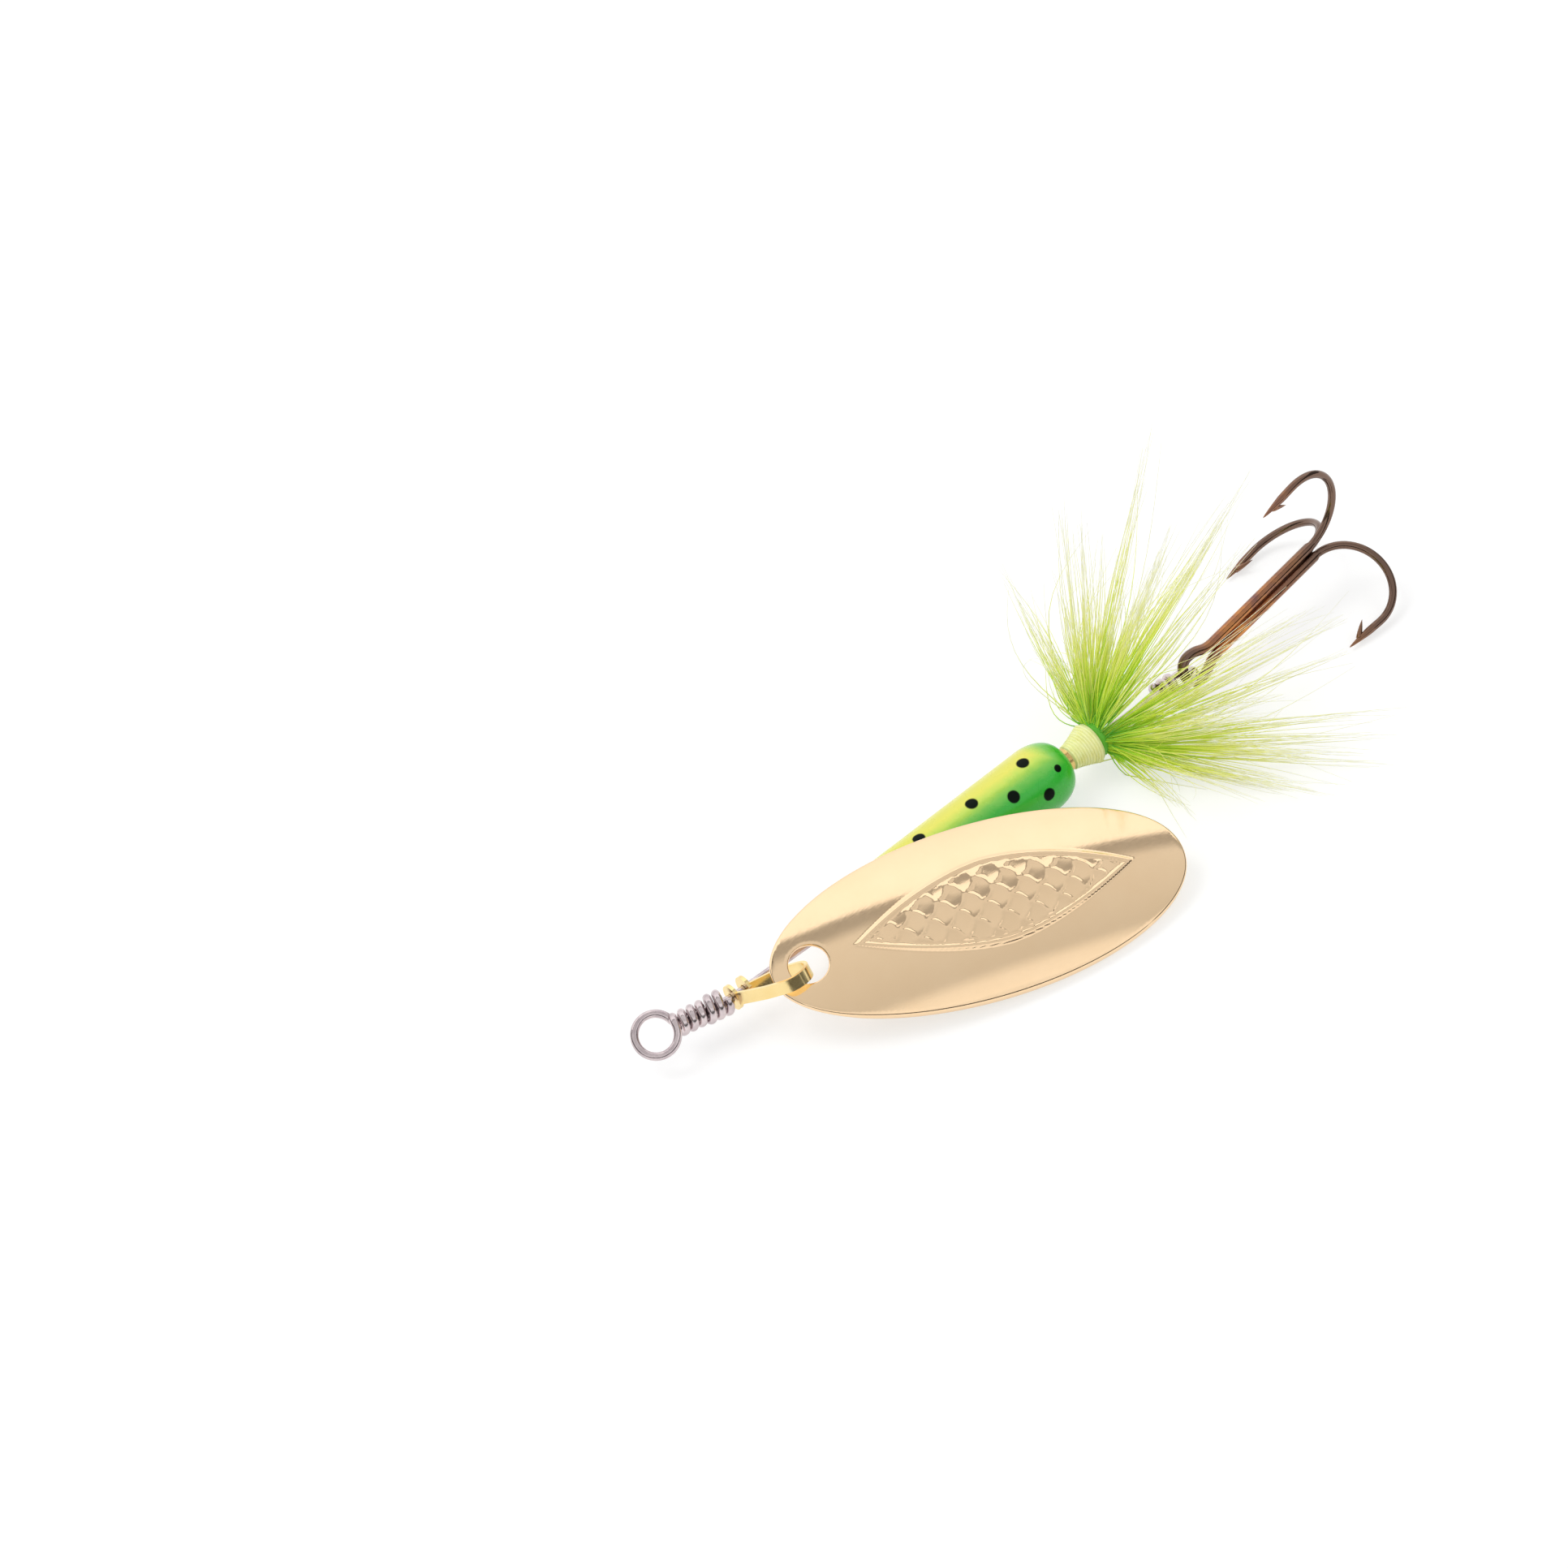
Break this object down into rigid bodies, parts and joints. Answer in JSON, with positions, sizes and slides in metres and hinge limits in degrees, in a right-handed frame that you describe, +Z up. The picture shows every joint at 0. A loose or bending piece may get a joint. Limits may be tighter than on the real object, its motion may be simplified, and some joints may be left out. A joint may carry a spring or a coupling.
{
  "type": "inline spinner",
  "caption": "Inline spinner lure with a gold blade on a clevis, a dotted green tapered body, a tied chartreuse hackle and a bronze treble hook.",
  "frame": {"origin": "centre of the line eye at the front of the shaft wire", "axes": "+X back along the straight shaft towards the treble hook, +Z up as the lure lies on a table, +Y to the side away from the blade"},
  "size_m": [0.0863, 0.0459, 0.0262],
  "materials": {
    "wire": "polished",
    "gold": "polished",
    "brass": "polished",
    "body_paint": "gloss",
    "thread": "waxed",
    "hackle_fibre": "matte",
    "bronze_hook": "gloss"
  },
  "bodies": {
    "wire": {"shaft_wire": "wire"},
    "clevis": {"clevis": "gold"},
    "blade": {"blade": "gold"},
    "bead_front": {"bead_front": "brass"},
    "bead_rear": {"bead_rear": "brass"},
    "dressed_body": {"body": "body_paint", "sleeve": "brass", "thread_wrap": "thread", "hackle": "hackle_fibre"},
    "treble": {"hook_pair": "bronze_hook", "hook_single": "bronze_hook"}
  },
  "joints": [
    {"name": "clevis_spin", "type": "hinge", "parent": "wire", "child": "clevis", "pos_m": [0.00812, -0.00153, 0], "axis": [1, 0, 0], "continuous": true},
    {"name": "blade_swing", "type": "hinge", "parent": "clevis", "child": "blade", "pos_m": [0.01072, -0.00464, 0.00243], "axis": [0, -0.515, -0.8572], "range_deg": [-3, 60]},
    {"name": "bead_front_spin", "type": "hinge", "parent": "wire", "child": "bead_front", "pos_m": [0.0178, -0.00153, 0], "axis": [1, 0, 0], "continuous": true},
    {"name": "bead_rear_spin", "type": "hinge", "parent": "wire", "child": "bead_rear", "pos_m": [0.02115, -0.00153, 0], "axis": [1, 0, 0], "continuous": true},
    {"name": "body_spin", "type": "hinge", "parent": "wire", "child": "dressed_body", "pos_m": [0.035, -0.00153, 0], "axis": [1, 0, 0], "continuous": true},
    {"name": "hook_swing", "type": "hinge", "parent": "wire", "child": "treble", "pos_m": [0.06192, -0.00153, 0], "axis": [0, -0.866, 0.5], "range_deg": [-70, 65], "deforming": ["hackle"]}
  ]
}
